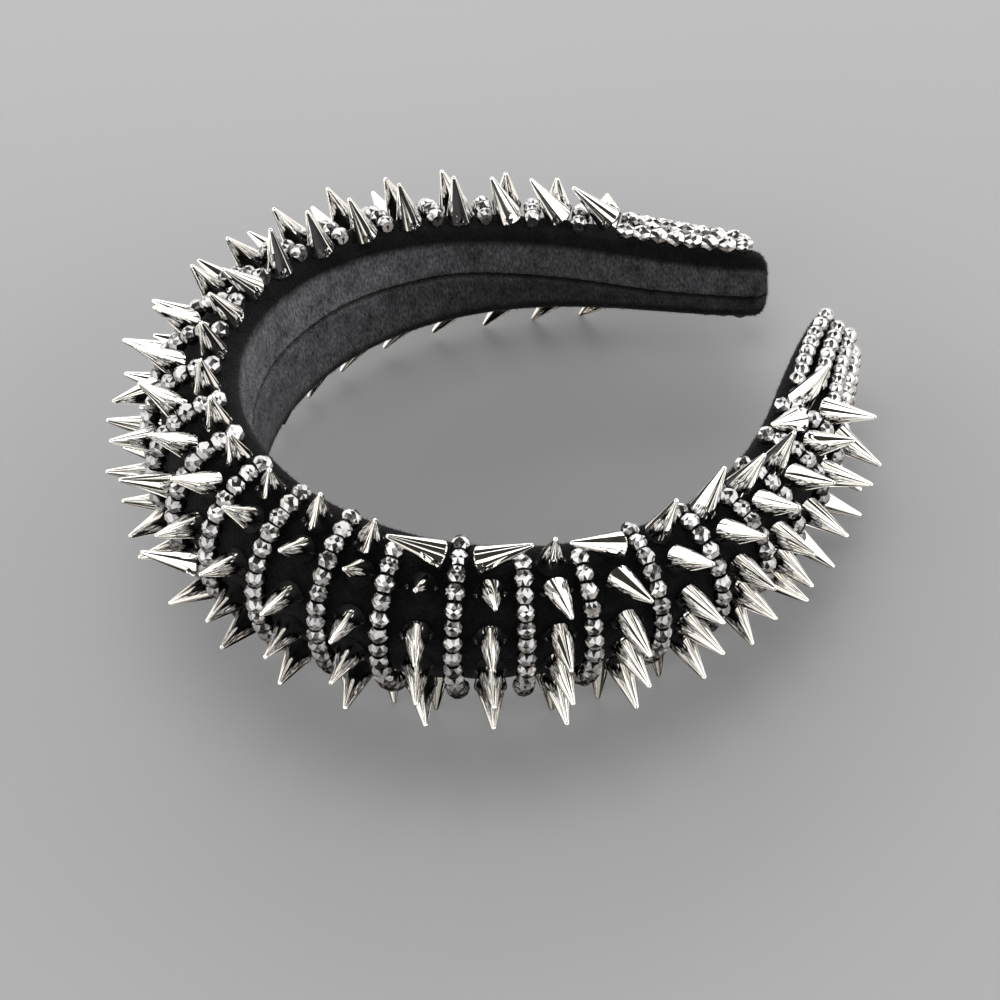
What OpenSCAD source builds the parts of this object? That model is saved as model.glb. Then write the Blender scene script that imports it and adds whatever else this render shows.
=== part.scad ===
// Padded headband covered in black velvet, lying on its side with its open ends towards +Y.
// Rows of cone spikes alternate with strands of faceted beads round its outer dome.
// The row numbers run from the band's left end, past the crown, to its right end.

/* [Band] */
// Length of the inner face from end to end
band_len = 345; // [320:1:360]
// Bend of the band at the crown, degrees for each millimetre
bend_crown = 1.10; // [1.05:0.01:1.15]
// Growth of that bend 100 mm away from the crown
bend_rise = 0.108; // [0.08:0.002:0.13]
// Loss of that bend 100 mm away from the crown, which lets the ends flare
bend_ease = 0.307; // [0.29:0.001:0.33]
// Thickness of the padding at the crown
crown_t = 19; // [17:0.5:21]
// Thickness of the padding at the very ends
end_t = 6.2; // [5:0.2:7]
// Half width of the band at the crown
crown_w = 18.4; // [17:0.2:20]
// Half width of the band at the ends
end_w = 7.6; // [7:0.2:9]
// How far the ends sink below the band's middle plane
end_drop = 1.1; // [0:0.1:2]
// Distance from the inner face to the band's widest line
edge_t = 3.4; // [3:0.2:4]
// Outward lean of the band for each millimetre of height
flare = 0.114; // [0.08:0.002:0.14]

/* [Spikes] */
// Length of a cone spike
spike_len = 12; // [11:0.5:12.5]
// Diameter of a spike's foot
spike_d = 6; // [5.4:0.2:6]
// Diameter of the thread hole through a spike's foot
thread_hole_d = 1; // [0.8:0.1:1.2]
// Height of the thread hole above the foot
thread_hole_z = 1.5; // [1.2:0.1:1.8]
// Spacing of the spike rows along the inner face
row_pitch = 10.4; // [10.2:0.1:10.5]

/* [Beads] */
// Outer diameter of a bead strand
strand_d = 4; // [3.6:0.1:4]
// Bead lines laid along the left end of the band
left_end_lines = 7; // [5:1:7]
// Outer diameter of those lines
left_end_line_d = 3.8; // [3.2:0.1:3.8]
// Bead lines laid along the right end of the band
right_end_lines = 8; // [6:1:8]
// Outer diameter of those lines
right_end_line_d = 3.2; // [2.8:0.1:3.2]

/* [Resting] */
// Height of the crown's middle above the surface that the band lies on
rest_h = 30.4; // [29.5:0.1:31]
// Angle by which the tapering arms sink towards that surface
rest_tilt = 6.2; // [5.8:0.1:6.6]

/* [Hidden] */
ROWS = 27;
STRANDS = ROWS - 1;

// Gap between a sewn piece and the velvet
seat = 0.3;
half_len = band_len / 2;
spike_r = spike_d / 2;
spike_nose_r = 0.5;
// Radius of the flat of a spike's foot, inside its softened edge
foot_flat_r = spike_r - 0.4;
strand_r = strand_d / 2;
strand_lift = strand_r + seat;
// The strands begin a little to the right of the crown
first_shift = 0.6;

// How far each hand-sewn strand sits from its even place, along the band
STRAND_NUDGE = [
    0.4, 0, -0.4, -0.4, 0, 0, 0, 0.8, 0, -0.8, 0, 0, 0,
    -0.4, -0.4, 0, -0.8, -0.6, -0.6, -1.2, -0.8, 0, 0, -0.8, 0, 0.4
];

// Places of the spikes between the rim spike and the lowest one: 90 is the upper rim, 0 the middle
WIDE_PLACES = [53, 20, -8, -34];
NARROW_PLACES = [46, 6, -34];
// Rises of the third spike and of those between it and the lowest one
WIDE_RISES = [9, 0, -5];
NARROW_RISES = [3, -25];
// Place of the lowest spike at the crown and out on the arms, and where it changes along the band
LOW_AT_CROWN = -85;
LOW_ON_ARMS = -66;
LOW_FROM = 35;
LOW_TO = 100;
// The first and last rows with this number of spikes or fewer are the narrow ones
NARROW_ROWS = 3;

// One line for each row. Columns: place of the rim spike, its rise and the second spike's rise
// above the band's middle plane, what is added to the rises of the others but the lowest, then
// the sideways lean of each spike from the rim down.
ROW_POSES = [
    [70, 90, -15, -8, 46, 5, 0, 5, 30],
    [76, 86, 110, -8, 34, 0, 0, -5, 30],
    [80, 90, 108, -4, 20, 2, -5, 0, 32],
    [80, 90, 99, 0, 6, 16, 0, 5, -5, 36],
    [82, 92, 101, 0, 12, 19, 5, -5, 0, 36],
    [88, 90, 92, 0, 18, 22, 0, 5, 0, 32],
    [88, 86, 87, 0, 14, 27, 5, 0, -5, 20],
    [86, 85, 86, 5, 6, 32, 0, -5, 5, 5],
    [88, 72, 79, 5, 35, 26, 5, 5, 0, 5],
    [88, 76, 56, 10, 28, 32, 10, 5, 5, 0],
    [84, 82, 45, 18, 20, 20, 45, 10, 0, 5],
    [80, 84, 50, 20, 20, 8, 26, 10, 5, 0],
    [80, 78, 42, 14, 20, 12, 0, 28, 10, 5],
    [78, 72, 35, 14, 18, 5, 16, -35, 10, 5],
    [78, 70, 48, 14, 22, 6, 10, 20, 20, 10],
    [77, 74, 40, 10, 18, 10, 8, 12, 16, 5],
    [76, 68, 45, 8, 18, 5, 5, 5, 12, 10],
    [76, 64, 40, 2, -60, 5, 12, 12, 18, 0],
    [75, 74, 28, 2, 60, 6, 3, 5, 4, 0],
    [75, 66, 15, -4, 0, 4, 0, 3, 0, 5],
    [76, 80, 15, -5, -64, 10, 0, 2, -5, -5],
    [80, 70, 30, 0, 5, 5, 0, 2, -10, 0],
    [80, 77, 30, 4, 15, -2, -10, -8, -25, 0],
    [77, 65, 30, 4, 5, -10, -15, -20, -8, 0],
    [68, 68, 27, 0, 0, -15, -20, 0, 0],
    [70, 110, 32, 8, -56, -12, -12, 10, 0],
    [73, 62, 14, -8, 4, -10, -25, 0, 0]
];

// The band's line
STEP = 1;
function heading(s) = bend_crown * s + bend_rise * s * pow(s / 100, 2) / 3
    - bend_ease * s * pow(s / 100, 4) / 5;
LINE = [
    for (i = 0, p = [0, 0]; i <= ceil(half_len / STEP) + 1;
        p = p + STEP * [cos(heading((i + 0.5) * STEP)), sin(heading((i + 0.5) * STEP))], i = i + 1)
    p
];
function line_at(s) =
    let (u = abs(s) / STEP, i = floor(u), p = LINE[i] + (u - i) * (LINE[i + 1] - LINE[i]))
    [s < 0 ? -p.x : p.x, p.y];

// A point of the band's frame once the band lies on the surface, arms down
function laid(p) = [
    p.x,
    p.y * cos(rest_tilt) + p.z * sin(rest_tilt),
    p.z * cos(rest_tilt) - p.y * sin(rest_tilt) + rest_h
];

// The band's section: o runs outwards from the inner face, z upwards
function swell(s) = 0.5 + 0.5 * cos(180 * min(1, abs(s) / half_len));
function thick(s) = end_t + (crown_t - end_t) * pow(swell(s), 0.25);
function wide(s) = end_w + (crown_w - end_w) * swell(s);
function edge(s) = edge_t * (0.5 + 0.5 * swell(s));
// A point of the dome at the angle t, and its outward direction there
function dome(s, t) = [edge(s) + (thick(s) - edge(s)) * cos(t), wide(s) * sin(t)];
function dome_out(s, t) =
    let (v = [wide(s) * cos(t), (thick(s) - edge(s)) * sin(t)]) v / norm(v);
function sunk(s) = end_drop * pow(s / half_len, 6);
// A point of a section in the band's own frame
function placed(s, q) =
    let (p = line_at(s), h = heading(s), o = q[0] + flare * q[1])
    [p.x + o * sin(h), p.y - o * cos(h), q[1] - sunk(s)];
function out_dir(s) = [sin(heading(s)), -cos(heading(s)), 0];
function along_dir(s) = [cos(heading(s)), sin(heading(s)), 0];

// The inner face is a shallow pillow with a groove where the velvet is closed by hand. Places on it
// run from 1 at the upper edge to -1 at the lower one, and the groove falls towards the ends.
EDGE_ROLL = 2.4;
PILLOW = 0.6;
SEAM_DEPTH = 0.9;
SEAM_AT_CROWN = 0.14;
SEAM_AT_ENDS = -0.32;
SEAM_FALLS_FROM = 95;
SEAM_FALLS_TO = 150;
FACE_FAR = [1, 0.7, 0.35, 0.08];
DOME_STEPS = 12;
function seam_at(s) =
    let (u = min(1, max(0, (abs(s) - SEAM_FALLS_FROM) / (SEAM_FALLS_TO - SEAM_FALLS_FROM))))
    SEAM_AT_CROWN + (SEAM_AT_ENDS - SEAM_AT_CROWN) * u * u * (3 - 2 * u);
function face_point(s, f, depth = 0) = [depth - PILLOW * (1 - f * f), f * (wide(s) - EDGE_ROLL)];
function face(s) =
    let (seam = seam_at(s))
    concat(
        [for (far = FACE_FAR) face_point(s, seam + (1 - seam) * far)],
        [face_point(s, seam, SEAM_DEPTH)],
        [for (i = [len(FACE_FAR) - 1 : -1 : 0]) face_point(s, seam - (1 + seam) * FACE_FAR[i])]
    );
function section(s) = concat(
    [for (i = [0 : DOME_STEPS]) dome(s, -90 + 180 * i / DOME_STEPS)],
    [for (a = [35, 65]) [edge(s) * (1 - sin(a)), wide(s) - EDGE_ROLL * (1 - cos(a))]],
    face(s),
    [for (a = [65, 35]) [edge(s) * (1 - sin(a)), -wide(s) + EDGE_ROLL * (1 - cos(a))]]
);

// The ends close over the last stretch, blunter than in a half round
END_ROUND = 4;
END_BLUNT = 3;
BAND_STEPS = 56;
END_FRACTIONS = [0.4, 0.7, 0.88, 0.97, 0.995];
function closing(u) = pow(1 - pow(u, END_BLUNT), 1 / END_BLUNT);
function band_ring(s, k) =
    let (mid = [thick(s) / 2, 0])
    [for (q = section(s)) placed(s, mid + k * (q - mid))];
straight_len = half_len - END_ROUND;
BAND_RINGS = concat(
    [for (i = [len(END_FRACTIONS) - 1 : -1 : 0])
        band_ring(-straight_len - END_ROUND * END_FRACTIONS[i], closing(END_FRACTIONS[i]))],
    [for (i = [0 : BAND_STEPS]) band_ring(straight_len * (2 * i / BAND_STEPS - 1), 1)],
    [for (f = END_FRACTIONS) band_ring(straight_len + END_ROUND * f, closing(f))]
);

// Bead strands: swept tubes across the dome, each in one plane of the band
STRAND_SIDES = 8;
STRAND_RINGS = 10;
STRAND_TOP = 90;
STRAND_LOW = -62;
// These strands begin lower, under the nose or the foot of a rim spike that lies on its side
SHORT_STRANDS = [17, 19, 20];
SHORTER = 13;
function strand_top(k) = STRAND_TOP - (search(k, SHORT_STRANDS) == [] ? 0 : SHORTER);
function strand_s(k) = (k - (STRANDS + 1) / 2) * row_pitch + first_shift + STRAND_NUDGE[k - 1];
function above_dome(s, t, lift) = dome(s, t) + lift * dome_out(s, t);
function strand_ring(s, t) =
    let (c = placed(s, above_dome(s, t, strand_lift)), n = dome_out(s, t))
    [for (j = [0 : STRAND_SIDES - 1]) let (a = 360 * (j + 0.5) / STRAND_SIDES)
        c + strand_r * (cos(a) * (n[0] * out_dir(s) + [0, 0, n[1]]) + sin(a) * along_dir(s))];
function strand_rings(k) =
    [for (i = [0 : STRAND_RINGS])
        strand_ring(strand_s(k), strand_top(k) + (STRAND_LOW - strand_top(k)) * i / STRAND_RINGS)];

// Bead lines of the ends: swept tubes along the band, from the last spikes on.
// Columns: side of the band, number of lines, radius of a line, place of the uppermost line.
LEFT_LINES = [-1, left_end_lines, left_end_line_d / 2, 87];
RIGHT_LINES = [1, right_end_lines, right_end_line_d / 2, 82];
END_LINES_TO = 167.5;
END_LINE_RINGS = 4;
END_LINE_LOW = -66;
END_LINE_GAP = 0.6;
function end_lines_from(lines) = abs(row_s(lines[0] < 0 ? 1 : ROWS)) + spike_r + END_LINE_GAP;
function end_line_ring(s, t, r) =
    let (
        c = placed(s, above_dome(s, t, r + seat)), n = dome_out(s, t),
        u = n[0] * out_dir(s) + [0, 0, n[1]], v = cross(along_dir(s), u)
    )
    [for (j = [0 : STRAND_SIDES - 1]) let (a = 360 * (j + 0.5) / STRAND_SIDES)
        c + r * (cos(a) * u + sin(a) * v)];
function end_line_rings(lines, j) =
    let (from = end_lines_from(lines), t = lines[3] + (END_LINE_LOW - lines[3]) * j / (lines[1] - 1))
    [for (i = [0 : END_LINE_RINGS])
        end_line_ring(lines[0] * (from + (END_LINES_TO - from) * i / END_LINE_RINGS), t, lines[2])];

// Spikes
function is_narrow(row) = row <= NARROW_ROWS || row > ROWS - NARROW_ROWS;
function low_place(row) =
    let (u = (abs(row_s(row)) - LOW_FROM) / (LOW_TO - LOW_FROM))
    LOW_AT_CROWN + (LOW_ON_ARMS - LOW_AT_CROWN) * min(1, max(0, u));
function places(row) =
    concat([ROW_POSES[row - 1][0]], is_narrow(row) ? NARROW_PLACES : WIDE_PLACES, [low_place(row)]);
function rises(row) = is_narrow(row) ? NARROW_RISES : WIDE_RISES;
function row_s(row) =
    row == 1 ? strand_s(1) - row_pitch / 2
    : row == ROWS ? strand_s(STRANDS) + row_pitch / 2
    : (strand_s(row - 1) + strand_s(row)) / 2;
function lean(row, i) = ROW_POSES[row - 1][4 + i];
// A spike's direction from its rise above the middle plane and its lean along the band
function aim(s, rise, lean) =
    cos(lean) * (cos(rise) * out_dir(s) + [0, 0, sin(rise)]) + sin(lean) * along_dir(s);
// A spike off the upright stands on the edge of its foot, and one that lies has slipped back.
// The rim spike of one row at the crown is sewn a little further right.
SLIP = 2.6;
SHIFTED_ROW = 18;
SHIFT = 0.9;
function foot_at(row, i, rise) =
    let (
        s = row_s(row), t = places(row)[i], q = dome_out(s, t),
        upright = q[0] * out_dir(s) + [0, 0, q[1]],
        lift = seat + foot_flat_r * norm(cross(upright, aim(s, rise, lean(row, i)))),
        slip = -SLIP * pow(sin(lean(row, i)), 2) * sign(lean(row, i))
            + (row == SHIFTED_ROW && i == 0 ? SHIFT : 0)
    )
    placed(s, dome(s, t) + lift * q) + slip * along_dir(s);
// The lowest spikes are splayed by the surface until their noses lie on it
STEEP = -80;
FLAT = -35;
SPLAY_PASSES = 12;
function splay(row, i, low = STEEP, high = FLAT, passes = SPLAY_PASSES) =
    let (
        mid = (low + high) / 2,
        reach = (spike_len - spike_nose_r) * aim(row_s(row), mid, lean(row, i)),
        above = laid(foot_at(row, i, mid) + reach).z - spike_nose_r
    )
    passes == 0 ? mid
    : above > 0 ? splay(row, i, low, mid, passes - 1)
    : splay(row, i, mid, high, passes - 1);
function rise(row, i) =
    i < 2 ? ROW_POSES[row - 1][1 + i]
    : i == len(places(row)) - 1 ? splay(row, i)
    : rises(row)[i - 2] + ROW_POSES[row - 1][3];
function foot(row, i) = foot_at(row, i, rise(row, i));
function spike_dir(row, i) = aim(row_s(row), rise(row, i), lean(row, i));
function nose(row, i) = foot(row, i) + (spike_len - spike_nose_r) * spike_dir(row, i);

// The model's origin is the middle of its box, on the surface that it lies on
NOSES = [for (row = [1 : ROWS]) for (i = [0 : len(places(row)) - 1]) laid(nose(row, i))];
OUTLINE = concat(
    [for (p = NOSES) for (e = [-spike_nose_r, spike_nose_r]) [p.x + e, p.y + e]],
    [for (ring = BAND_RINGS) for (p = ring) laid(p)],
    [for (lines = [LEFT_LINES, RIGHT_LINES]) for (j = [0 : lines[1] - 1])
        for (ring = end_line_rings(lines, j)) for (p = ring) laid(p)]
);
X_ALL = [for (p = OUTLINE) p.x];
Y_ALL = [for (p = OUTLINE) p.y];
MIDDLE = [(min(X_ALL) + max(X_ALL)) / 2, (min(Y_ALL) + max(Y_ALL)) / 2, 0];

module lay_down() {
    translate([0, 0, rest_h] - MIDDLE) rotate([-rest_tilt, 0, 0]) children();
}

// Skin through rings that run along a path, with a flat cap at each end
module skin(rings) {
    n = len(rings[0]);
    last = len(rings) - 1;
    points = [for (ring = rings) for (p = ring) p];
    sides = [for (i = [0 : last - 1]) for (j = [0 : n - 1])
        let (a = i * n + j, b = i * n + (j + 1) % n) each [[a, b, b + n], [a, b + n, a + n]]];
    first_cap = [for (j = [n - 1 : -1 : 0]) j];
    last_cap = [for (j = [0 : n - 1]) last * n + j];
    polyhedron(points, concat(sides, [first_cap, last_cap]));
}

module velvet_band() {
    color("#1b1a1d") lay_down() skin(BAND_RINGS);
}

module bead_strand(k) {
    color("#8b898c") lay_down() skin(strand_rings(k));
}

module end_beads(lines) {
    color("#b5b2b0") lay_down()
        for (j = [0 : lines[1] - 1]) skin(end_line_rings(lines, j));
}

// A cone with a small round nose and a softened foot
NOSE_SLOPE = atan((spike_r - spike_nose_r) / (spike_len - spike_nose_r));
module spike() {
    nose_z = spike_len - spike_nose_r;
    difference() {
        rotate_extrude($fn = 48) polygon(concat(
            [[0, 0], [foot_flat_r, 0], [spike_r - 0.1, 0.1], [spike_r, spike_r - foot_flat_r]],
            [for (a = [NOSE_SLOPE : 25 : 80]) [spike_nose_r * cos(a), nose_z + spike_nose_r * sin(a)]],
            [[0, spike_len]]
        ));
        translate([0, 0, thread_hole_z]) rotate([0, 90, 0])
            cylinder(h = spike_d + 2, d = thread_hole_d, center = true, $fn = 24);
    }
}

module spike_row(row) {
    color("#c9c7c4") lay_down() for (i = [0 : len(places(row)) - 1]) {
        d = spike_dir(row, i);
        translate(foot(row, i))
            rotate([0, acos(d.z), atan2(d.y, d.x)])
                rotate([0, 0, 90]) spike();
    }
}

velvet_band();
end_beads(LEFT_LINES);  // left_end_beads
end_beads(RIGHT_LINES);  // right_end_beads
for (i = [1 : ROWS]) spike_row(i);
for (i = [1 : STRANDS]) bead_strand(i);
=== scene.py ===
"""Spiked velvet headband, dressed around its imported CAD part."""
import math
import random

import bpy
import numpy as np
from mathutils import Matrix, Vector
from mathutils.bvhtree import BVHTree


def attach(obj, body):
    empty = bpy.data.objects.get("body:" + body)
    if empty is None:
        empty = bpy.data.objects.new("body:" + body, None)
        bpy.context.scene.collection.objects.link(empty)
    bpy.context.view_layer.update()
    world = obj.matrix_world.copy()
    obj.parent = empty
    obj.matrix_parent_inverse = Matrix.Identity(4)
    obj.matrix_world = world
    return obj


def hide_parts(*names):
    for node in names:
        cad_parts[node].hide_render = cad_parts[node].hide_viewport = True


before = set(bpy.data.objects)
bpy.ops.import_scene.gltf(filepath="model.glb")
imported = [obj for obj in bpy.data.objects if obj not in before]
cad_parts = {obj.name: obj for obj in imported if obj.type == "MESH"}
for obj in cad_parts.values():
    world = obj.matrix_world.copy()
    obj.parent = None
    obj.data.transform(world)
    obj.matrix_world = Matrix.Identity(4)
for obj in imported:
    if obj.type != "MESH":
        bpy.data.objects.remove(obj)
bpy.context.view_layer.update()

scene = bpy.context.scene

# Camera: it looks down over the right arm into the band, from well back, with a long lens.
# It leans a little to one side, because the band and not the surface is level in the picture.
CAMERA_AT = Vector((0.4533, -0.2280, 0.5029))
CAMERA_AIM = Vector((0.0204, -0.0104, 0.0260))
CAMERA_ROLL = math.radians(-7.58)


def new_object(name, data):
    """An object of this camera, mesh or lamp, put into the scene."""
    made = bpy.data.objects.new(name, data)
    scene.collection.objects.link(made)
    return made


camera_data = bpy.data.cameras.new("camera")
camera_data.sensor_width = 36
camera_data.lens = 117.83
camera_data.clip_start = 0.05
camera_data.clip_end = 20
camera = new_object("camera", camera_data)
camera.location = CAMERA_AT
look = (CAMERA_AIM - CAMERA_AT).to_track_quat("-Z", "Y")
camera.rotation_mode = "QUATERNION"
camera.rotation_quaternion = look @ Matrix.Rotation(CAMERA_ROLL, 3, "Z").to_quaternion()
scene.camera = camera


# Velvet band: a stiff core padded with foam, thick and wide at the crown and slim at the ends.
# The velvet is drawn over it and closed by hand along the middle of the inner face, and the
# strands of beads press shallow grooves into it. Sizes are in millimetres, as in the CAD source.
MM = 0.001
BAND_LEN = 345
HALF_LEN = BAND_LEN / 2
# Degrees of bend for each millimetre at the crown, and its growth and its loss 100 mm away
BEND_CROWN, BEND_RISE, BEND_EASE = 1.10, 0.108, 0.307
LINE_STEP = 1
# Thickness and half width, at the crown and at the ends
CROWN_T, END_T, THICK_POWER = 19, 6.2, 0.25
CROWN_W, END_W = 18.4, 7.6
END_DROP, DROP_POWER = 1.1, 6
# Distance from the inner face to the widest line, and outward lean for each millimetre of height
EDGE_T, FLARE = 3.4, 0.114
# How the band lies: the crown's height, the arms' angle, and the middle of its box
REST_H, REST_TILT = 30.4, math.radians(6.2)
MIDDLE_Y = 50.63


def heading(s):
    """The band's turn at s, in radians."""
    turn = BEND_CROWN * s + BEND_RISE * s * (s / 100) ** 2 / 3 - BEND_EASE * s * (s / 100) ** 4 / 5
    return math.radians(turn)


LINE = [(0.0, 0.0)]
for step in range(int(HALF_LEN / LINE_STEP) + 3):
    turn = heading((step + 0.5) * LINE_STEP)
    LINE.append((LINE[-1][0] + LINE_STEP * math.cos(turn), LINE[-1][1] + LINE_STEP * math.sin(turn)))


def line_at(s):
    """A point of the inner face's line."""
    u = abs(s) / LINE_STEP
    i = int(u)
    x = LINE[i][0] + (u - i) * (LINE[i + 1][0] - LINE[i][0])
    y = LINE[i][1] + (u - i) * (LINE[i + 1][1] - LINE[i][1])
    return (-x if s < 0 else x), y


def swell(s):
    return 0.5 + 0.5 * math.cos(math.pi * min(1, abs(s) / HALF_LEN))


def thick(s):
    return END_T + (CROWN_T - END_T) * swell(s) ** THICK_POWER


def wide(s):
    return END_W + (CROWN_W - END_W) * swell(s)


def edge(s):
    return EDGE_T * (0.5 + 0.5 * swell(s))


def dome(s, t, lift=0.0):
    """A point of the section's dome at the angle t, raised off it by lift: outward, upward."""
    deep, high = thick(s) - edge(s), wide(s)
    out, up = high * math.cos(t), deep * math.sin(t)
    size = math.hypot(out, up)
    return edge(s) + deep * math.cos(t) + lift * out / size, high * math.sin(t) + lift * up / size


def placed(s, out, up):
    """A point of a section in the part's frame, in metres, with the band laid on its side."""
    x, y = line_at(s)
    turn = heading(s)
    reach = out + FLARE * up
    z = up - END_DROP * (s / HALF_LEN) ** DROP_POWER
    x, y = x + reach * math.sin(turn), y - reach * math.cos(turn)
    flat_y = y * math.cos(REST_TILT) + z * math.sin(REST_TILT) - MIDDLE_Y
    flat_z = z * math.cos(REST_TILT) - y * math.sin(REST_TILT) + REST_H
    return Vector((x, flat_y, flat_z)) * MM


def ripple(s, t, seed):
    """A slow, even wander from -1 to 1 over the band, the sum of three waves out of step."""
    return (math.sin(s * 0.11 + 2.1 * t + seed) + math.sin(s * 0.047 - 3.3 * t + 2.3 * seed)
            + math.sin(s * 0.23 + 1.2 * t + 4.1 * seed)) / 3


def eased(u):
    """A smooth way from 0 to 1 as u goes from 0 to 1, and level before and after."""
    u = min(1, max(0, u))
    return u * u * (3 - 2 * u)


# The strands' places along the band, each a little off its even place, and the grooves under them
ROW_PITCH = 10.4
STRANDS = 26
FIRST_SHIFT = 0.6
STRAND_NUDGE = [0.4, 0, -0.4, -0.4, 0, 0, 0, 0.8, 0, -0.8, 0, 0, 0,
                -0.4, -0.4, 0, -0.8, -0.6, -0.6, -1.2, -0.8, 0, 0, -0.8, 0, 0.4]
STRAND_S = [(k - (STRANDS + 1) / 2) * ROW_PITCH + FIRST_SHIFT + STRAND_NUDGE[k - 1]
            for k in range(1, STRANDS + 1)]
GROOVE_DEPTH, GROOVE_W, PUFF = 0.35, 1.7, 0.12


def drawn_in(s):
    """How far the dome stands off its even form: down under a strand, up between two."""
    near = min(abs(s - at) for at in STRAND_S)
    return PUFF - (PUFF + GROOVE_DEPTH) * math.exp(-(near / GROOVE_W) ** 2)


# The seam falls towards the ends. The velvet stands up in a lip on either side of it and puckers
SEAM_DEPTH, SEAM_W = 1.2, 0.42
SEAM_AT_CROWN, SEAM_AT_ENDS, SEAM_FALLS_FROM, SEAM_FALLS_TO = 0.14, -0.32, 95, 150
SEAM_WANDER = 0.03
LIP_H, LIP_AT, LIP_W = 0.30, 1.3, 0.7
PUCKER_H, PUCKER_W, PUCKER_TURN = 0.12, 2.0, 2.1
PILLOW, UNEVEN = 0.6, 0.15
EDGE_ROLL, ROLL_ANGLES = 2.4, (20, 40, 60, 75)


def seam_at(s):
    """Place of the seam on the inner face: 1 is the upper edge, -1 the lower one."""
    fall = eased((abs(s) - SEAM_FALLS_FROM) / (SEAM_FALLS_TO - SEAM_FALLS_FROM))
    return SEAM_AT_CROWN + (SEAM_AT_ENDS - SEAM_AT_CROWN) * fall + SEAM_WANDER * ripple(s, 0, 3.0)


def face_point(s, f):
    """A point at the place f of the inner face, and how deep in the seam it lies, from 0 to 1."""
    flat = wide(s) - EDGE_ROLL
    off = (f - seam_at(s)) * flat
    groove = math.exp(-(off / SEAM_W) ** 2)
    lips = LIP_H * math.exp(-((abs(off) - LIP_AT) / LIP_W) ** 2)
    puckers = PUCKER_H * math.sin(s * PUCKER_TURN + ripple(s, 0, 9.0)) * math.exp(-(off / PUCKER_W) ** 2)
    out = SEAM_DEPTH * groove - lips - puckers - PILLOW * (1 - f * f) + UNEVEN * ripple(s, 2 * f, 5.0)
    return (out, f * flat), groove


# The inner face is worn pale, with a painted sheen in its colour; painted shade makes it less so below the
# seam and along the arms, and it is also less pale close to its edges
PAINTED_SHADE_BELOW_SEAM = 0.78
ARM_SHADE_FROM, ARM_SHADE_FADE, ARM_SHADE_LOSS = 55, 65, 0.55
EDGE_PALE, EDGE_FADE = 0.3, 6


def face_wear_and_painted_light(s, f):
    """How pale the velvet is at the place f of the inner face, from 0 to 1: worn pile, with painted light
    and painted shade over it.
    """
    pale = (1.0 if f > seam_at(s) else PAINTED_SHADE_BELOW_SEAM) - ARM_SHADE_LOSS * eased((abs(s) - ARM_SHADE_FROM) / ARM_SHADE_FADE)
    return pale * min(1, EDGE_FADE * (1 - abs(f)) + EDGE_PALE)


# Points over the dome and from the seam to each edge of the inner face, crowded near the seam
DOME_SIDES, FACE_SIDES, CROWDED = 56, 26, 1.7
DOME_UNEVEN = 0.1


def edge_roll(s, side):
    """The rounded edge from the rim to the inner face: side is 1 for the upper one, else -1."""
    roll = [math.radians(a) for a in ROLL_ANGLES]
    return [((edge(s) * (1 - math.sin(a)), side * (wide(s) - EDGE_ROLL * (1 - math.cos(a)))), 0.0, 0.0)
            for a in roll]


def band_section(s):
    """The section's outline: over the dome from the lower rim up, then down the inner face.
    Each point comes with how pale it is as part of the inner face, from wear and painted light, and how
    deep in the seam."""
    points = []
    for i in range(DOME_SIDES + 1):
        t = math.radians(-90 + 180 * i / DOME_SIDES)
        fade = max(0, math.cos(t)) ** 0.5
        lift = drawn_in(s) * fade + DOME_UNEVEN * ripple(s, t, 1.0)
        points.append((dome(s, t, lift), 0.0, 0.0))
    points += edge_roll(s, 1)
    seam = seam_at(s)
    for i in range(-FACE_SIDES, FACE_SIDES + 1):
        far = (abs(i) / FACE_SIDES) ** CROWDED
        f = seam + (1 - seam) * far if i < 0 else seam - (1 + seam) * far
        corner, groove = face_point(s, f)
        points.append((corner, face_wear_and_painted_light(s, f), groove))
    points += reversed(edge_roll(s, -1))
    return points


# The ends close over their last stretch, blunter than in a half round
END_ROUND, END_BLUNT = 4, 3
CLOSING_AT = (0.35, 0.55, 0.7, 0.82, 0.9, 0.955, 0.985, 0.997)
STATIONS = 340
TIP_PALE = 0.1
straight = HALF_LEN - END_ROUND
stations = [straight * (2 * i / STATIONS - 1) for i in range(STATIONS + 1)]
closings = [(u, (1 - u ** END_BLUNT) ** (1 / END_BLUNT)) for u in CLOSING_AT]
verts, face_side, seam_side, rings = [], [], [], []
for s, k in ([(-straight - END_ROUND * u, k) for u, k in reversed(closings)]
             + [(s, 1.0) for s in stations]
             + [(straight + END_ROUND * u, k) for u, k in closings]):
    mid = thick(s) / 2
    ring = []
    for (out, up), inner, groove in band_section(s):
        ring.append(len(verts))
        verts.append(placed(s, mid + k * (out - mid), k * up))
        face_side.append(inner)
        seam_side.append(groove)
    rings.append(ring)
faces = []
for a, b in zip(rings, rings[1:]):
    n = len(a)
    faces += [(a[j], b[j], b[(j + 1) % n], a[(j + 1) % n]) for j in range(n)]
for ring, s in ((rings[0], -HALF_LEN), (rings[-1], HALF_LEN)):
    tip = len(verts)
    verts.append(placed(s, thick(s) / 2, 0))
    face_side.append(TIP_PALE)
    seam_side.append(0.0)
    n = len(ring)
    cap = [(ring[j], ring[(j + 1) % n], tip) for j in range(n)]
    faces += cap if s < 0 else [tuple(reversed(f)) for f in cap]
mesh = bpy.data.meshes.new("band_velvet")
mesh.from_pydata(verts, [], faces)
mesh.shade_smooth()
# The inner face's paleness rides on the points: worn pile with painted light and painted shade
mesh.attributes.new("face_wear_and_light", "FLOAT", "POINT").data.foreach_set("value", face_side)
mesh.attributes.new("in_seam", "FLOAT", "POINT").data.foreach_set("value", seam_side)
band = new_object("band_velvet", mesh)


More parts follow.
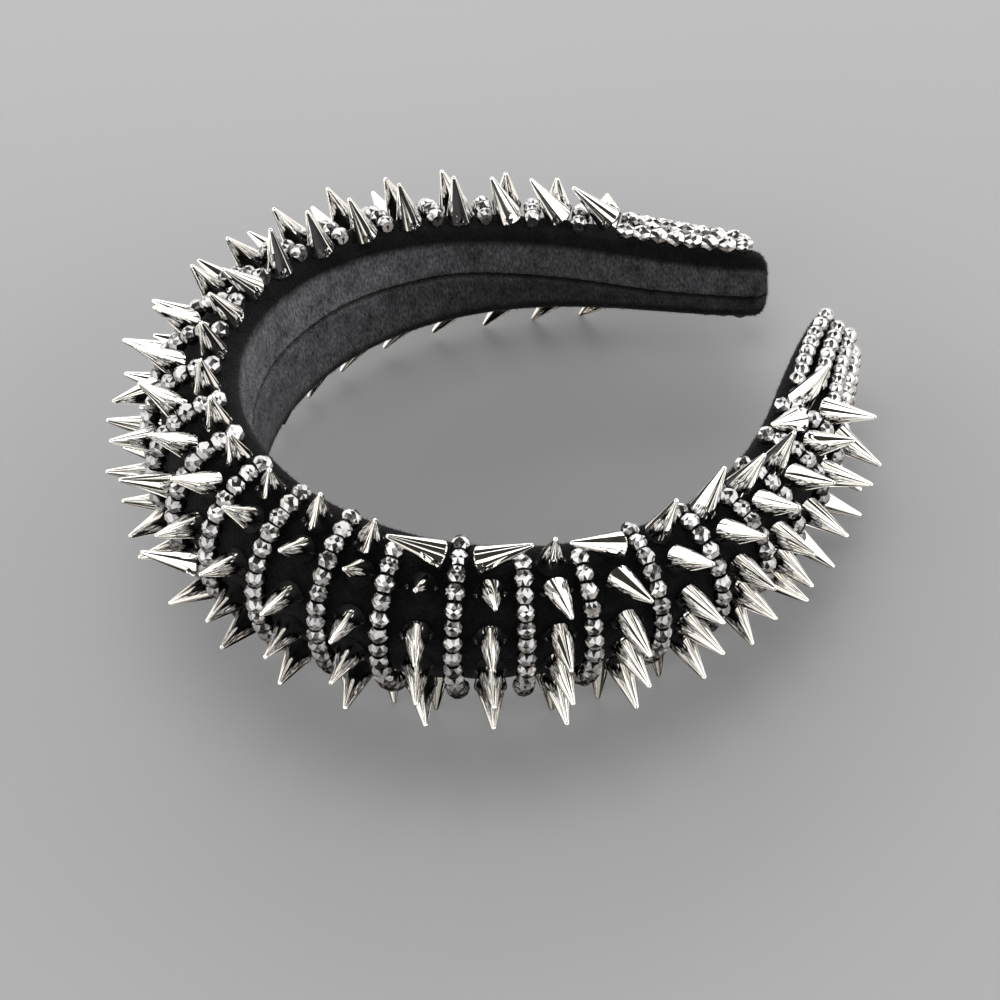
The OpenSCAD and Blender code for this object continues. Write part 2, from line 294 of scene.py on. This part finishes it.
def new_material(name):
    """A new material, with its node tree and its shader."""
    made = bpy.data.materials.new(name)
    made.use_nodes = True
    return made, made.node_tree, made.node_tree.nodes["Principled BSDF"]


def noise_at(tree, place, scale, detail=2):
    """A noise texture read at a place."""
    made = tree.nodes.new("ShaderNodeTexNoise")
    made.inputs["Scale"].default_value = scale
    made.inputs["Detail"].default_value = detail
    tree.links.new(place, made.inputs["Vector"])
    return made


def spread(tree, value, start, end, low=0.0, high=1.0):
    """A node that goes from low to high while the value goes from start to end."""
    made = tree.nodes.new("ShaderNodeMapRange")
    for socket, number in (("From Min", start), ("From Max", end), ("To Min", low), ("To Max", high)):
        made.inputs[socket].default_value = number
    tree.links.new(value, made.inputs["Value"])
    return made


def two_tone(tree, value, dark, light, start=0.0, end=1.0):
    """A colour that goes from dark to light while the value goes from start to end."""
    made = tree.nodes.new("ShaderNodeValToRGB")
    for stop, position, colour in zip(made.color_ramp.elements, (start, end), (dark, light)):
        stop.position = position
        stop.color = (*colour, 1)
    tree.links.new(value, made.inputs["Fac"])
    return made.outputs["Color"]


def use_group(tree, group, **values):
    """A shader group placed in a material with values of its own."""
    made = tree.nodes.new("ShaderNodeGroup")
    made.node_tree = group
    for socket, value in values.items():
        made.inputs[socket].default_value = value
    return made


def patches_group():
    """Shader group: where the velvet's pile is stroked one way or the other, from 0 to 1."""
    group = bpy.data.node_groups.new("stroked_patches", "ShaderNodeTree")
    group.interface.new_socket("Scale", in_out="INPUT", socket_type="NodeSocketFloat")
    group.interface.new_socket("Patches", in_out="OUTPUT", socket_type="NodeSocketFloat")
    given = group.nodes.new("NodeGroupInput")
    coordinates = group.nodes.new("ShaderNodeTexCoord")
    noise = noise_at(group, coordinates.outputs["Object"], 1, 6)
    noise.inputs["Roughness"].default_value = 0.7
    group.links.new(given.outputs["Scale"], noise.inputs["Scale"])
    stroked = spread(group, noise.outputs["Fac"], 0.32, 0.70)
    out = group.nodes.new("NodeGroupOutput")
    group.links.new(stroked.outputs["Result"], out.inputs["Patches"])
    return group


PATCH_SCALE = 260
stroked_patches = patches_group()
velvet, tree, shader = new_material("black_velvet")
shader.inputs["Roughness"].default_value = 0.95
shader.inputs["Specular IOR Level"].default_value = 0.1
shader.inputs["Sheen Weight"].default_value = 0.14
shader.inputs["Sheen Roughness"].default_value = 0.4
shader.inputs["Sheen Tint"].default_value = (0.55, 0.54, 0.57, 1)
patches = use_group(tree, stroked_patches, Scale=PATCH_SCALE)
# Painted light: the inner face's pale colour stands partly for the sheen of its pressed pile, and its
# attribute adds painted shade below the seam and along the arms
worn_and_painted_sheen = two_tone(tree, patches.outputs["Patches"], (0.045, 0.043, 0.047), (0.150, 0.146, 0.155))
deep = two_tone(tree, patches.outputs["Patches"], (0.001, 0.001, 0.0012), (0.006, 0.006, 0.0065))
inner = tree.nodes.new("ShaderNodeAttribute")
inner.attribute_name = "face_wear_and_light"
colour = tree.nodes.new("ShaderNodeMix")
colour.data_type = "RGBA"
tree.links.new(inner.outputs["Fac"], colour.inputs["Factor"])
tree.links.new(deep, colour.inputs["A"])
tree.links.new(worn_and_painted_sheen, colour.inputs["B"])
seam_line = tree.nodes.new("ShaderNodeAttribute")
seam_line.attribute_name = "in_seam"
closed = tree.nodes.new("ShaderNodeMix")
closed.data_type = "RGBA"
closed.inputs["B"].default_value = (0.002, 0.002, 0.002, 1)
tree.links.new(seam_line.outputs["Fac"], closed.inputs["Factor"])
tree.links.new(colour.outputs["Result"], closed.inputs["A"])
# A fine grain, drawn out along the height of the band, as the pile lies
coordinates = tree.nodes.new("ShaderNodeTexCoord")
strokes = tree.nodes.new("ShaderNodeMapping")
strokes.inputs["Scale"].default_value = (1, 1, 0.35)
tree.links.new(coordinates.outputs["Object"], strokes.inputs["Vector"])
grain = noise_at(tree, strokes.outputs["Vector"], 2400)
depth = spread(tree, grain.outputs["Fac"], 0.3, 0.7, 0.45, 1.6)
grained = tree.nodes.new("ShaderNodeVectorMath")
grained.operation = "SCALE"
tree.links.new(closed.outputs["Result"], grained.inputs["Vector"])
tree.links.new(depth.outputs["Result"], grained.inputs["Scale"])
tree.links.new(grained.outputs["Vector"], shader.inputs["Base Color"])
pile = noise_at(tree, coordinates.outputs["Object"], 2200, 3)
nap = tree.nodes.new("ShaderNodeBump")
nap.inputs["Strength"].default_value = 0.8
nap.inputs["Distance"].default_value = 0.0005
tree.links.new(pile.outputs["Fac"], nap.inputs["Height"])
tree.links.new(nap.outputs["Normal"], shader.inputs["Normal"])
mesh.materials.append(velvet)
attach(band, "root")
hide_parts("velvet_band")


# Velvet pile: short fibres that stand on the rims and the round ends, where they show against the
# light, and lie nearly flat on the inner face, which a head has pressed down.
draw_many = np.random.default_rng(11)
# For each zone: fibres for each square millimetre, their length and how far they lean over
RIM_PILE, FACE_PILE, END_PILE = (3.2, 0.55, 0.7), (1.0, 0.55, 2.2), (7.0, 0.6, 0.7)
SHORTEST, LONGEST = 0.5, 1.2
FIBRE_R, ROOTED = 0.055, 0.08
# The rims begin this share of the dome's points from its middle, and the ends reach this many rings
# past their round
RIM_FROM, END_RINGS = 0.31, 3
# A fibre that leans into the velvet is raised again by this share of what it lacks
LEAST_RISE, RAISED = 0.3, 0.6
RING, ROLL = len(rings[0]), len(ROLL_ANGLES)
corners = np.array([f for f in faces if len(f) == 4])
spots = np.array([tuple(v) for v in verts])
row_of = corners[:, 0] // RING
place_of = corners[:, 0] % RING
on_dome = place_of < DOME_SIDES
on_rim = on_dome & (np.abs(place_of - DOME_SIDES / 2) > RIM_FROM * DOME_SIDES)
on_roll = ((place_of >= DOME_SIDES) & (place_of <= DOME_SIDES + ROLL)) | (place_of >= RING - ROLL - 1)
rim = on_rim | on_roll
end_rows = len(closings) + END_RINGS
at_end = (row_of < end_rows) | (row_of >= len(rings) - 1 - end_rows)
zones = ((at_end, END_PILE), (rim & ~at_end, RIM_PILE), (~rim & ~on_dome & ~at_end, FACE_PILE))
a, b, c, d = (spots[corners[:, n]] for n in range(4))
normal = np.cross(c - a, d - b)
area = np.linalg.norm(normal, axis=1) / 2
normal = normal / np.linalg.norm(normal, axis=1)[:, None]
roots, tips = [], []
for zone, (density, length, lean) in zones:
    chosen = np.flatnonzero(zone)
    count = int(density * area[chosen].sum() / MM ** 2)
    pick = draw_many.choice(chosen, count, p=area[chosen] / area[chosen].sum())
    u, v = draw_many.random((2, count, 1))
    root = (a[pick] * (1 - u) + b[pick] * u) * (1 - v) + (d[pick] * (1 - u) + c[pick] * u) * v
    stand = normal[pick] + lean * draw_many.normal(0, 0.5, (count, 3))
    lacking = np.maximum(0, LEAST_RISE - np.sum(stand * normal[pick], axis=1))
    stand += RAISED * lacking[:, None] * normal[pick]
    stand /= np.linalg.norm(stand, axis=1)[:, None]
    reach = length * draw_many.uniform(SHORTEST, LONGEST, (count, 1)) * MM
    roots.append(root - ROOTED * MM * normal[pick])
    tips.append(root + stand * reach)
roots, tips = np.concatenate(roots), np.concatenate(tips)
# Each fibre is a thin three-sided cone
axis = tips - roots
side_a = np.cross(axis, draw_many.normal(0, 1, axis.shape))
side_a /= np.linalg.norm(side_a, axis=1)[:, None]
side_b = np.cross(axis / np.linalg.norm(axis, axis=1)[:, None], side_a)
foot = [roots + FIBRE_R * MM * (math.cos(turn) * side_a + math.sin(turn) * side_b)
        for turn in (0, 2 * math.pi / 3, 4 * math.pi / 3)]
fibre_points = np.stack([*foot, tips], axis=1).reshape(-1, 3)
first = 4 * np.arange(len(tips))[:, None, None]
fibre_faces = (first + np.array([[0, 2, 1], [0, 1, 3], [1, 2, 3], [2, 0, 3]])).reshape(-1, 3)
mesh = bpy.data.meshes.new("velvet_pile")
mesh.from_pydata(fibre_points.tolist(), [], fibre_faces.tolist())
pile_object = new_object("velvet_pile", mesh)
fibre, tree, shader = new_material("velvet_fibre")
shader.inputs["Roughness"].default_value = 0.9
shader.inputs["Specular IOR Level"].default_value = 0.1
patches = use_group(tree, stroked_patches, Scale=PATCH_SCALE)
shade = two_tone(tree, patches.outputs["Patches"], (0.008, 0.008, 0.009), (0.038, 0.037, 0.040))
tree.links.new(shade, shader.inputs["Base Color"])
mesh.materials.append(fibre)
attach(pile_object, "root")


# Cone spikes: moulded plastic with a bright chrome coat, solid but for a thread hole across the
# foot. They are the CAD's own solids, each sewn to the velvet through that hole.


def gloss_group():
    """Shader group: a mirror coat's roughness, a little smeared from place to place."""
    group = bpy.data.node_groups.new("smeared_gloss", "ShaderNodeTree")
    for socket in ("Scale", "Least", "Most"):
        group.interface.new_socket(socket, in_out="INPUT", socket_type="NodeSocketFloat")
    group.interface.new_socket("Roughness", in_out="OUTPUT", socket_type="NodeSocketFloat")
    given = group.nodes.new("NodeGroupInput")
    coordinates = group.nodes.new("ShaderNodeTexCoord")
    noise = noise_at(group, coordinates.outputs["Object"], 1, 4)
    group.links.new(given.outputs["Scale"], noise.inputs["Scale"])
    smear = spread(group, noise.outputs["Fac"], 0.3, 0.7)
    group.links.new(given.outputs["Least"], smear.inputs["To Min"])
    group.links.new(given.outputs["Most"], smear.inputs["To Max"])
    out = group.nodes.new("NodeGroupOutput")
    group.links.new(smear.outputs["Result"], out.inputs["Roughness"])
    return group


smeared_gloss = gloss_group()
chrome, tree, shader = new_material("spike_chrome")
shader.inputs["Metallic"].default_value = 1
gloss = use_group(tree, smeared_gloss, Scale=500, Least=0.03, Most=0.08)
tree.links.new(gloss.outputs["Roughness"], shader.inputs["Roughness"])
coordinates = tree.nodes.new("ShaderNodeTexCoord")
clouds = noise_at(tree, coordinates.outputs["Object"], 200)
tone = two_tone(tree, clouds.outputs["Fac"], (0.86, 0.84, 0.79), (0.95, 0.94, 0.92), 0.3, 0.7)
tree.links.new(tone, shader.inputs["Base Color"])
# The mould left faint flutes that run from the foot to the nose: a cone's normal is the same all
# along such a line, so noise read at the normal changes only round the cone
FLUTE_SCALE, FLUTE_DEPTH = 2.4, 0.09
surface = tree.nodes.new("ShaderNodeNewGeometry")
flutes = noise_at(tree, surface.outputs["Normal"], FLUTE_SCALE, 0)
centred = tree.nodes.new("ShaderNodeVectorMath")
centred.operation = "SUBTRACT"
centred.inputs[1].default_value = (0.5, 0.5, 0.5)
tree.links.new(flutes.outputs["Color"], centred.inputs[0])
tilted = tree.nodes.new("ShaderNodeVectorMath")
tilted.operation = "MULTIPLY_ADD"
tilted.inputs[1].default_value = (FLUTE_DEPTH, FLUTE_DEPTH, FLUTE_DEPTH)
tree.links.new(centred.outputs["Vector"], tilted.inputs[0])
tree.links.new(surface.outputs["Normal"], tilted.inputs[2])
fluted = tree.nodes.new("ShaderNodeVectorMath")
fluted.operation = "NORMALIZE"
tree.links.new(tilted.outputs["Vector"], fluted.inputs[0])
tree.links.new(fluted.outputs["Vector"], shader.inputs["Normal"])
spike_rows = [node for name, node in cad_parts.items() if name.startswith("spike_row_")]
for node in spike_rows:
    node.data.materials.clear()
    node.data.materials.append(chrome)


# Sewing thread: black, doubled and drawn as one. At each spike it comes up out of the velvet, goes
# through the hole in the foot and down into the velvet on the far side.
THREAD_R = 0.16
THREAD_SIDES = 6
ROOT_DEPTH = 0.6


def tube(path, radius):
    """Points and faces of a closed round tube along a path of points, in metres."""
    points, skin = [], []
    across = (path[1] - path[0]).orthogonal().normalized()
    for i, at in enumerate(path):
        along = (path[min(i + 1, len(path) - 1)] - path[max(i - 1, 0)]).normalized()
        across = (across - across.dot(along) * along).normalized()
        beside = along.cross(across)
        for n in range(THREAD_SIDES):
            turn = 2 * math.pi * n / THREAD_SIDES
            points.append(at + radius * (math.cos(turn) * across + math.sin(turn) * beside))
    for i in range(len(path) - 1):
        for n in range(THREAD_SIDES):
            m = (n + 1) % THREAD_SIDES
            low, high = i * THREAD_SIDES, (i + 1) * THREAD_SIDES
            skin.append((low + n, low + m, high + m, high + n))
    skin.append(tuple(reversed(range(THREAD_SIDES))))
    skin.append(tuple(range(len(points) - THREAD_SIDES, len(points))))
    return points, skin


thread, tree, shader = new_material("black_thread")
shader.inputs["Roughness"].default_value = 0.6
coordinates = tree.nodes.new("ShaderNodeTexCoord")
twist = noise_at(tree, coordinates.outputs["Object"], 1500)
dye = two_tone(tree, twist.outputs["Fac"], (0.004, 0.004, 0.005), (0.022, 0.021, 0.024))
tree.links.new(dye, shader.inputs["Base Color"])


def thread_object(name, paths):
    """One object of black thread along these paths."""
    points, skin = [], []
    for path in paths:
        tube_points, tube_faces = tube(path, THREAD_R * MM)
        skin += [tuple(len(points) + v for v in f) for f in tube_faces]
        points += tube_points
    mesh = bpy.data.meshes.new(name)
    mesh.from_pydata(points, [], skin)
    mesh.shade_smooth()
    mesh.materials.append(thread)
    made = new_object(name, mesh)
    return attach(made, "root")


def loose_parts(mesh):
    """The points of each separate solid in a mesh."""
    points = np.array([tuple(v.co) for v in mesh.vertices])
    points, welded = np.unique(np.round(points, 6), axis=0, return_inverse=True)
    ends = welded.reshape(-1)[np.array([tuple(e.vertices) for e in mesh.edges])]
    label = np.arange(len(points))
    while True:
        least = np.minimum(label[ends[:, 0]], label[ends[:, 1]])
        new = label.copy()
        np.minimum.at(new, ends[:, 0], least)
        np.minimum.at(new, ends[:, 1], least)
        new = new[new]
        if (new == label).all():
            break
        label = new
    return [points[label == n] for n in np.unique(label)]


cloth = BVHTree.FromPolygons(verts, faces)


def into_velvet(point):
    """A point a little under the velvet's surface, below the given one."""
    spot, up, _, _ = cloth.find_nearest(point)
    return spot - up * ROOT_DEPTH * MM


# The spike's own sizes, and the place of the hole's mouths
SPIKE_LEN, SPIKE_R, HOLE_UP, HOLE_SIDE = 12, 3, 1.5, 2.75
# The thread's way down beside the foot: how far out from the hole's mouth and how far below it
BESIDE_FOOT = ((0.3, 0.4), (0.45, 1.2))
# The holes run level in the band's own frame, before it is laid on its side
lay = Matrix.Rotation(-REST_TILT, 3, "X")
stitches = []
for node in spike_rows:
    for part in loose_parts(node.data):
        part = part @ np.array(node.matrix_world.to_3x3()).T + np.array(node.matrix_world.translation)
        rim_point = part[np.argmax(np.linalg.norm(part - part.mean(axis=0), axis=1))]
        nose = Vector(part[np.argmax(np.linalg.norm(part - rim_point, axis=1))])
        from_nose = np.linalg.norm(part - np.array(nose), axis=1)
        foot_centre = Vector(part[from_nose > (SPIKE_LEN + 0.1) * MM].mean(axis=0))
        up = (nose - foot_centre).normalized()
        level = lay.inverted() @ up
        cross = lay @ Vector((-level.y, level.x, 0)).normalized()
        hole = foot_centre + up * HOLE_UP * MM
        out_a, out_b = hole + cross * HOLE_SIDE * MM, hole - cross * HOLE_SIDE * MM
        way_up = [out_a + (cross * out - up * below) * MM for out, below in reversed(BESIDE_FOOT)]
        way_down = [out_b - (cross * out + up * below) * MM for out, below in BESIDE_FOOT]
        stitches.append([into_velvet(out_a - up * MM), *way_up, out_a, hole, out_b, *way_down,
                         into_velvet(out_b - up * MM)])
thread_object("spike_thread", stitches)


# Bead strands: drilled rondelles of cut glass with a dark hematite mirror coat, threaded on a
# doubled black thread and drawn tight over the dome between two rows of spikes.
BEAD_SIDES = 10
# Radius of the girdle, half the length along the thread, and radius of the hole
BEAD_R, BEAD_HALF, BEAD_HOLE = 2.2, 1.58, 0.42
# Where the cuts meet: radius and height of the waist beside the girdle, and radius of the flat end
WAIST_R, WAIST_H, TABLE_R = BEAD_R * math.cos(math.pi / BEAD_SIDES), 0.55, 1.45


def rondelle():
    """One bead round the Z axis: diamond facets round its girdle, two rows of cut corners on
    either side of them, and flat drilled ends."""
    turn = 2 * math.pi / BEAD_SIDES
    points, facets = [], []

    def ring(radius, height, shift):
        first = len(points)
        for i in range(BEAD_SIDES):
            a = (i + shift) * turn
            points.append((radius * math.cos(a), radius * math.sin(a), height))
        return [first + i for i in range(BEAD_SIDES)]

    girdle = ring(BEAD_R, 0, 0)
    waists, holes = [], []
    for side in (1, -1):
        waist = ring(WAIST_R, side * WAIST_H, 0.5)
        table = ring(TABLE_R, side * BEAD_HALF, 0)
        hole = ring(BEAD_HOLE, side * BEAD_HALF, 0)
        waists.append(waist)
        holes.append(hole)
        for i in range(BEAD_SIDES):
            j = (i + 1) % BEAD_SIDES
            group = [
                (waist[i], girdle[j], waist[j]),
                (waist[i], waist[j], table[j]),
                (table[i], waist[i], table[j]),
                (hole[i], table[i], table[j], hole[j]),
            ]
            facets += group if side > 0 else [tuple(reversed(f)) for f in group]
    for i in range(BEAD_SIDES):
        j = (i + 1) % BEAD_SIDES
        facets.append((girdle[i], waists[1][i], girdle[j], waists[0][i]))
        facets.append((holes[0][i], holes[0][j], holes[1][j], holes[1][i]))
    return np.array(points), facets


BEAD_POINTS, BEAD_FACETS = rondelle()
# How far a bead may sit askew, and be larger or smaller, and lighter or darker, than the next
ASKEW, SIZE_SPREAD, TONE_SPREAD = 0.08, 0.03, 0.2
FULL_TURN = 6.28
draw = random.Random(7)


def bead_run(path, count, across, along, bright):
    """Points, facets and tones of count beads spread evenly along a path of points in metres,
    scaled across and along the thread. Their coat goes from the first bright value to the second; on the
    strands this is painted shade."""
    steps = [(b - a).length for a, b in zip(path, path[1:])]
    total = sum(steps)
    points, facets, tones = [], [], []
    for n in range(count):
        want = total * n / (count - 1)
        i = 0
        while i < len(steps) - 1 and want > steps[i]:
            want -= steps[i]
            i += 1
        thread_way = (path[i + 1] - path[i]).normalized()
        at = path[i] + thread_way * want
        tilt = Vector((draw.uniform(-1, 1), draw.uniform(-1, 1), draw.uniform(-1, 1))) * ASKEW
        rotation = (thread_way + tilt).normalized().to_track_quat("Z", "X").to_matrix()
        rotation = np.array(rotation @ Matrix.Rotation(draw.uniform(0, FULL_TURN), 3, "Z"))
        size = np.array((across, across, along)) * MM * draw.uniform(1 - SIZE_SPREAD, 1 + SIZE_SPREAD)
        first = sum(len(p) for p in points)
        points.append((BEAD_POINTS * size) @ rotation.T + np.array(at))
        facets += [tuple(first + v for v in f) for f in BEAD_FACETS]
        tone = bright[0] + (bright[1] - bright[0]) * n / (count - 1)
        tone += draw.uniform(-TONE_SPREAD, TONE_SPREAD)
        tones += [min(1, max(0, tone))] * len(BEAD_FACETS)
    return np.concatenate(points), facets, tones


def bead_object(name, runs, material):
    """One object of all the beads of these runs, with a tone for each bead, which holds painted shade on
    the strands.
    """
    points, facets, tones = [], [], []
    for run_points, run_facets, run_tones in runs:
        first = sum(len(p) for p in points)
        points.append(run_points)
        facets += [tuple(first + v for v in f) for f in run_facets]
        tones += run_tones
    mesh = bpy.data.meshes.new(name)
    mesh.from_pydata(np.concatenate(points).tolist(), [], facets)
    mesh.attributes.new("bead_tone_and_shade", "FLOAT", "FACE").data.foreach_set("value", tones)
    mesh.materials.append(material)
    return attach(new_object(name, mesh), "root")


def bead_coat(name, dark, light):
    """A mirror coat on cut glass, a little lighter or darker from bead to bead, and darker where a bead's
    tone holds painted shade.
    """
    made, tree, shader = new_material(name)
    shader.inputs["Metallic"].default_value = 1
    tone = tree.nodes.new("ShaderNodeAttribute")
    tone.attribute_name = "bead_tone_and_shade"
    colour = two_tone(tree, tone.outputs["Fac"], dark, light)
    tree.links.new(colour, shader.inputs["Base Color"])
    gloss = use_group(tree, smeared_gloss, Scale=900, Least=0.10, Most=0.22)
    tree.links.new(gloss.outputs["Roughness"], shader.inputs["Roughness"])
    return made


hematite = bead_coat("hematite_coat", (0.09, 0.087, 0.09), (0.46, 0.45, 0.45))
STRAND_LIFT, STRAND_STEPS = 2.3, 60
STRAND_TOP, STRAND_LOW = math.radians(86), math.radians(-54)
# These strands begin lower, under a rim spike that lies on its side
SHORT_STRANDS, SHORTER = (17, 19, 20), math.radians(13)
BEAD_PITCH, PAST_BEAD = 3.42, 0.1
# The beads' scale along the arms, how much more it is at the crown, and how far that reaches
ARM_SCALE, CROWN_SCALE, CROWN_REACH = 0.92, 0.1, 55
# Painted shade: along each strand the beads go from light at the upper rim to dark at the lower one, where
# less light falls
STRAND_PAINTED_SHADE = (1.0, 0.1)


def over_the_dome(s, top):
    """The line that a strand follows over the dome, from rim to rim."""
    turns = [top + (STRAND_LOW - top) * i / STRAND_STEPS for i in range(STRAND_STEPS + 1)]
    return [placed(s, *dome(s, t, STRAND_LIFT)) for t in turns]


strand_threads = []
for k, s in enumerate(STRAND_S, 1):
    path = over_the_dome(s, STRAND_TOP - (SHORTER if k in SHORT_STRANDS else 0))
    length = sum((b - a).length for a, b in zip(path, path[1:])) / MM
    count = round(length / BEAD_PITCH) + 1
    across = ARM_SCALE + CROWN_SCALE * math.exp(-(s / CROWN_REACH) ** 2)
    run = bead_run(path, count, across, 1.0, STRAND_PAINTED_SHADE)
    strand = bead_object(f"rondelles_{k}", [run], hematite)
    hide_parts(f"bead_strand_{k}")
    before = path[0] + (path[0] - path[1]).normalized() * (BEAD_HALF + PAST_BEAD) * MM
    after = path[-1] + (path[-1] - path[-2]).normalized() * (BEAD_HALF + PAST_BEAD) * MM
    strand_threads.append([into_velvet(before), before, *path, after, into_velvet(after)])
thread_object("strand_thread", strand_threads)


# End beads: lines of smaller rondelles with a bright silver coat, laid side by side along the
# last stretch of each arm, from the last spikes nearly to the tip.
silver = bead_coat("silver_coat", (0.42, 0.41, 0.41), (0.56, 0.55, 0.54))
END_LINES_TO, END_LINE_LOW, END_LINE_GAP, SEAT = 168.6, -66, 0.2, 0.4
END_STEPS = 12
BETWEEN_BEADS = 0.08
END_BRIGHT = (0.4, 0.7)
end_threads = []
# Columns: name, the CAD's node, side, last strand, number of lines, place of the uppermost line,
# beads in a line, their diameter
for name, node, side, last_strand, lines, top, per_line, bead_d in (
    ("left_end_rondelles", "left_end_beads", -1, STRAND_S[0], 7, 87, 8, 3.9),
    ("right_end_rondelles", "right_end_beads", 1, STRAND_S[-1], 8, 82, 8, 3.7),
):
    start = abs(last_strand) + ROW_PITCH / 2 + SPIKE_R + END_LINE_GAP + bead_d / 2
    stop = END_LINES_TO - bead_d / 2
    pitch = (stop - start) / (per_line - 1)
    bead_long = (pitch / 2 - BETWEEN_BEADS) / BEAD_HALF
    runs = []
    for j in range(lines):
        t = math.radians(top + (END_LINE_LOW - top) * j / (lines - 1))
        # Every other line is half a bead shorter at both ends, so that its beads lie in the gaps
        short = pitch / 2 * (j % 2)
        stretch = stop - start - 2 * short
        stops = [side * (start + short + stretch * i / END_STEPS) for i in range(END_STEPS + 1)]
        path = [placed(s, *dome(s, t, bead_d / 2 + SEAT)) for s in stops]
        runs.append(bead_run(path, per_line - j % 2, bead_d / 2 / BEAD_R, bead_long, END_BRIGHT))
        end_threads.append(path)
    ends = bead_object(name, runs, silver)
    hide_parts(node)
thread_object("end_line_thread", end_threads)


# Surface and studio light: a plain pale floor, and soft boxes round the band and over it. Their
# ring is open only near the camera, so the chrome shows broad white bands with thin dark lines.
FLOOR = 3
floor_mesh = bpy.data.meshes.new("floor")
floor_mesh.from_pydata(
    [(-FLOOR, -FLOOR, 0), (FLOOR, -FLOOR, 0), (FLOOR, FLOOR, 0), (-FLOOR, FLOOR, 0)], [], [(0, 1, 2, 3)])
floor = new_object("floor", floor_mesh)
floor_paint, tree, shader = new_material("floor_paint")
# The chrome and the beads see a dark polished sheet where the camera sees a pale dull floor
ray = tree.nodes.new("ShaderNodeLightPath")
paint = tree.nodes.new("ShaderNodeMix")
paint.data_type = "RGBA"
paint.inputs["A"].default_value = (0.33, 0.33, 0.335, 1)
paint.inputs["B"].default_value = (0.42, 0.40, 0.375, 1)
tree.links.new(ray.outputs["Is Glossy Ray"], paint.inputs["Factor"])
tree.links.new(paint.outputs["Result"], shader.inputs["Base Color"])
tree.links.new(ray.outputs["Is Glossy Ray"], shader.inputs["Metallic"])
polish = spread(tree, ray.outputs["Is Glossy Ray"], 0, 1, 0.5, 0.12)
tree.links.new(polish.outputs["Result"], shader.inputs["Roughness"])
floor_mesh.materials.append(floor_paint)

world = bpy.data.worlds.new("studio")
world.use_nodes = True
world.node_tree.nodes["Background"].inputs["Color"].default_value = (0.040, 0.036, 0.030, 1)
scene.world = world
# Brightness of a box's face, and how far from the band the boxes stand
LIT, AWAY = 2.4, 1.2
LIGHT_AIM = Vector((0, 0, 0.03))


def soft_box(name, at, size, share):
    """A soft box at a share of the full brightness, facing down. The camera doesn't see it."""
    lamp = bpy.data.lights.new(name, "AREA")
    lamp.shape = "RECTANGLE"
    lamp.size, lamp.size_y = size
    lamp.energy = share * LIT * math.pi * size[0] * size[1]
    box = new_object(name, lamp)
    box.location = at
    box.visible_camera = False
    return box


# Columns: name, direction as seen from above, height of its middle, its width and height, share
for name, turn, up, size, share in (
    ("near_left_box", -79, 0.50, (1.5, 0.9), 1.0),
    ("back_left_box", -144, 0.50, (1.5, 0.9), 1.0),
    ("back_box", 149, 0.50, (1.5, 0.9), 1.0),
    ("back_right_box", 82, 0.50, (1.5, 0.9), 1.0),
    ("near_right_box", 16, 0.50, (1.5, 0.9), 1.0),
    ("camera_box", -32, 1.20, (0.9, 0.6), 0.4),
):
    at = Vector((AWAY * math.cos(math.radians(turn)), AWAY * math.sin(math.radians(turn)), up))
    box = soft_box(name, at, size, share)
    box.rotation_mode = "QUATERNION"
    box.rotation_quaternion = (LIGHT_AIM - at).to_track_quat("-Z", "Y")
soft_box("top_box", (-0.1, 0.05, AWAY), (0.9, 0.9), 1.0)
scene.view_settings.view_transform = "Standard"
